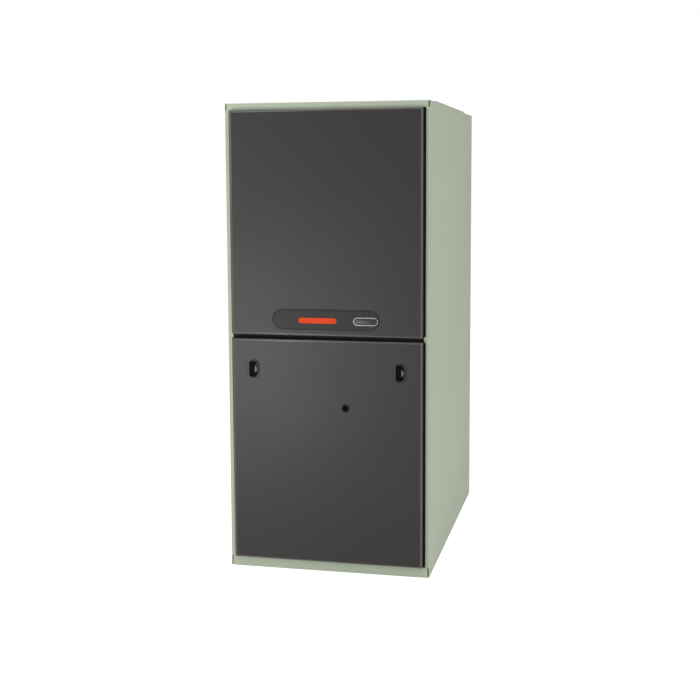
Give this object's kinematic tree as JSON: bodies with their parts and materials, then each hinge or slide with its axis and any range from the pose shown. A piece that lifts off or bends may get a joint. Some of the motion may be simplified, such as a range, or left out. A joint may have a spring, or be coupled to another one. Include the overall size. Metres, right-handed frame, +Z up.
{
  "type": "forced air gas furnace",
  "caption": "Upright sheet steel furnace cabinet with two charcoal doors over burners, tubular heat exchanger, inducer and blower.",
  "frame": {"origin": "on the floor, under the middle of the outline with its doors and latches", "axes": "+Z up, the doors face -Y, +X to the right as seen from the front"},
  "size_m": [0.4444, 0.7302, 1.026],
  "materials": {
    "casing_paint": "sage green powder coat, satin",
    "door_paint": "charcoal powder coat, fine texture",
    "galvanised": "galvanised sheet, spangled",
    "aluminised": "aluminised steel, dull",
    "insulation": "foil-faced glass wool",
    "foam_gasket": "closed cell foam",
    "badge_plastic": "moulded dark grey plastic",
    "badge_trim": "bright silver trim",
    "latch_plastic": "moulded black nylon",
    "grommet_rubber": "black rubber",
    "sight_glass": "clear glass",
    "gas_pipe": "black iron pipe",
    "brass": "machined brass",
    "ceramic": "glazed ceramic insulator",
    "valve_casting": "die-cast aluminium",
    "knob_plastic": "moulded grey plastic",
    "switch_plastic": "moulded dark plastic",
    "reset_red": "moulded red plastic",
    "inducer_shell": "dark coated steel",
    "motor_paint": "dark grey enamel",
    "rotor_steel": "galvanised steel",
    "shaft_steel": "ground steel",
    "fan_plastic": "moulded black plastic",
    "circuit_board": "green solder mask",
    "transformer_steel": "varnished laminations",
    "filter_media": "pleated fibre in a card frame",
    "plunger_plastic": "moulded white plastic"
  },
  "bodies": {
    "cabinet": {"casing_wrapper": "casing_paint", "top_panel": "casing_paint", "base_pan": "casing_paint", "blower_deck": "casing_paint", "vestibule_panel": "galvanised", "casing_insulation": "insulation", "door_gasket": "foam_gasket", "heat_tube_1": "aluminised", "heat_tube_2": "aluminised", "heat_tube_3": "aluminised", "heat_tube_4": "aluminised", "heat_tube_rack": "galvanised", "collector_box": "aluminised", "burner_box": "aluminised", "burner_1": "aluminised", "burner_2": "aluminised", "burner_3": "aluminised", "burner_4": "aluminised", "gas_manifold": "gas_pipe", "gas_orifices": "brass", "igniter": "ceramic", "flame_sensor": "ceramic", "rollout_switch": "switch_plastic", "gas_valve": "valve_casting", "limit_switch": "switch_plastic", "inducer_housing": "inducer_shell", "inducer_motor": "motor_paint", "vent_collar": "galvanised", "pressure_switch": "switch_plastic", "blower_scroll": "galvanised", "blower_side_left": "galvanised", "blower_side_right": "galvanised", "blower_motor": "motor_paint", "blower_motor_mount": "galvanised", "control_tray": "galvanised", "control_board": "circuit_board", "transformer": "transformer_steel", "junction_box": "galvanised", "door_switch": "switch_plastic", "air_filter": "filter_media", "filter_rack": "galvanised"},
    "upper_door": {"upper_door": "door_paint", "upper_door_liner": "insulation", "badge_plate": "badge_plastic", "badge_ring": "badge_trim"},
    "lower_door": {"lower_door": "door_paint", "lower_door_liner": "insulation", "latch_bezel_left": "latch_plastic", "latch_bezel_right": "latch_plastic", "sight_grommet": "grommet_rubber", "sight_lens": "sight_glass"},
    "latch_left": {"latch_knob_left": "latch_plastic"},
    "latch_right": {"latch_knob_right": "latch_plastic"},
    "blower_rotor": {"blower_wheel": "rotor_steel", "blower_shaft": "shaft_steel"},
    "inducer_rotor": {"inducer_wheel": "rotor_steel", "inducer_fan": "fan_plastic"},
    "gas_knob": {"gas_valve_knob": "knob_plastic"},
    "switch_plunger": {"door_switch_plunger": "plunger_plastic"},
    "reset_button": {"rollout_reset": "reset_red"}
  },
  "joints": [
    {"name": "upper_door_off", "type": "slide", "parent": "cabinet", "child": "upper_door", "axis": [0, -1, 0], "range_m": [0, 0.4]},
    {"name": "lower_door_off", "type": "slide", "parent": "cabinet", "child": "lower_door", "axis": [0, -1, 0], "range_m": [0, 0.4]},
    {"name": "latch_left_turn", "type": "hinge", "parent": "lower_door", "child": "latch_left", "pos_m": [-0.161, -0.3621, 0.447], "axis": [0, 1, 0], "range_deg": [0, 90]},
    {"name": "latch_right_turn", "type": "hinge", "parent": "lower_door", "child": "latch_right", "pos_m": [0.161, -0.3621, 0.447], "axis": [0, -1, 0], "range_deg": [0, 90]},
    {"name": "blower_spin", "type": "hinge", "parent": "cabinet", "child": "blower_rotor", "pos_m": [0, 0.0539, 0.262], "axis": [1, 0, 0], "continuous": true},
    {"name": "inducer_spin", "type": "hinge", "parent": "cabinet", "child": "inducer_rotor", "pos_m": [0.03, -0.2461, 0.852], "axis": [0, 1, 0], "continuous": true},
    {"name": "gas_knob_turn", "type": "hinge", "parent": "cabinet", "child": "gas_knob", "pos_m": [-0.147, -0.3248, 0.736], "axis": [0, -1, 0], "range_deg": [0, 90]},
    {"name": "switch_press", "type": "slide", "parent": "cabinet", "child": "switch_plunger", "axis": [0, 1, 0], "range_m": [0, 0.003], "stiffness_N_per_m": 300},
    {"name": "reset_press", "type": "slide", "parent": "cabinet", "child": "reset_button", "axis": [0, 0, -1], "range_m": [0, 0.0015], "stiffness_N_per_m": 600}
  ]
}
